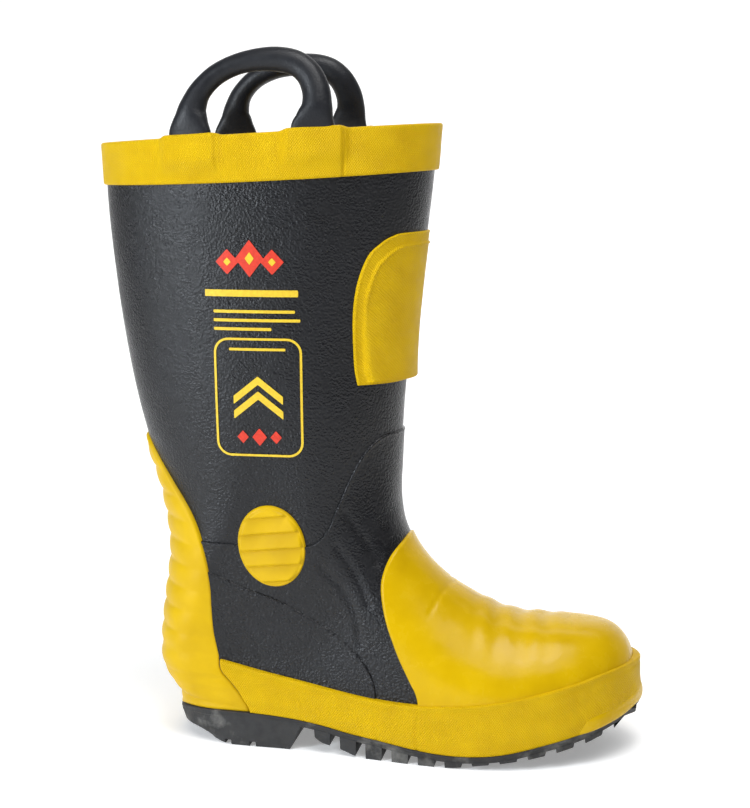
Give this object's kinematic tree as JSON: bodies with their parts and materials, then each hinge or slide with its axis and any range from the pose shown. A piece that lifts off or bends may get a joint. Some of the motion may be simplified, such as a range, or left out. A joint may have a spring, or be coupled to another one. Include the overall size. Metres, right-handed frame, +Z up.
{
  "type": "fire boots",
  "caption": "Tall rubber firefighter's boot with carry handles, shin, ankle, heel and toe guards, and a cleated sole.",
  "frame": {"origin": "centre of the bounding box in plan, at the ground under the sole", "axes": "+X towards the toe, +Y towards the inner (medial) side of this right boot, +Z up the leg"},
  "size_m": [0.337, 0.122, 0.4262],
  "materials": {
    "upper_rubber": "satin, fine wrinkled grain",
    "handle_rubber": "satin",
    "yellow_rubber": "satin, fabric imprint on band, foxing and shin guard",
    "sole_rubber": "matte",
    "filler_rubber": "matte",
    "steel": "plain",
    "felt": "matte felt",
    "lining_fabric": "woven cotton",
    "leatherboard": "matte",
    "stiffener": "matte",
    "foam": "sponge"
  },
  "bodies": {
    "boot": {"leg_upper": "upper_rubber", "foot_upper": "upper_rubber", "heel_quarter_lateral": "upper_rubber", "heel_quarter_medial": "upper_rubber", "handle_tab_rear_lateral": "handle_rubber", "handle_tab_front_lateral": "handle_rubber", "handle_tab_rear_medial": "handle_rubber", "handle_tab_front_medial": "handle_rubber", "foxing_band": "yellow_rubber", "toe_bumper": "yellow_rubber", "toe_guard": "yellow_rubber", "heel_guard": "yellow_rubber", "ankle_guard_lateral": "yellow_rubber", "ankle_guard_medial": "yellow_rubber", "shin_guard": "yellow_rubber", "rim_band": "yellow_rubber", "outsole": "sole_rubber", "midsole": "filler_rubber", "toe_cap_edge_strip": "filler_rubber", "steel_toe_cap": "steel", "steel_midsole_plate": "steel", "insulation_felt": "felt", "lining": "lining_fabric", "insole_board": "leatherboard", "heel_counter": "stiffener", "shin_guard_foam": "foam"},
    "handle_lateral_loop": {"handle_lateral": "handle_rubber"},
    "handle_medial_loop": {"handle_medial": "handle_rubber"},
    "insole": {"removable_insole": "felt"}
  },
  "joints": [
    {"name": "lateral_handle_fold", "type": "hinge", "parent": "boot", "child": "handle_lateral_loop", "pos_m": [-0.06162, -0.054, 0.38557], "axis": [0.9983, 0, 0.058], "range_deg": [-25, 45], "stiffness_Nm_per_rad": 0.3},
    {"name": "medial_handle_fold", "type": "hinge", "parent": "boot", "child": "handle_medial_loop", "pos_m": [-0.06162, 0.054, 0.38557], "axis": [-0.9983, 0, -0.058], "range_deg": [-25, 45], "stiffness_Nm_per_rad": 0.3},
    {"name": "insole_lift", "type": "hinge", "parent": "boot", "child": "insole", "pos_m": [0.14888, 0.006, 0.038], "axis": [0, 1, 0], "range_deg": [0, 12]}
  ]
}
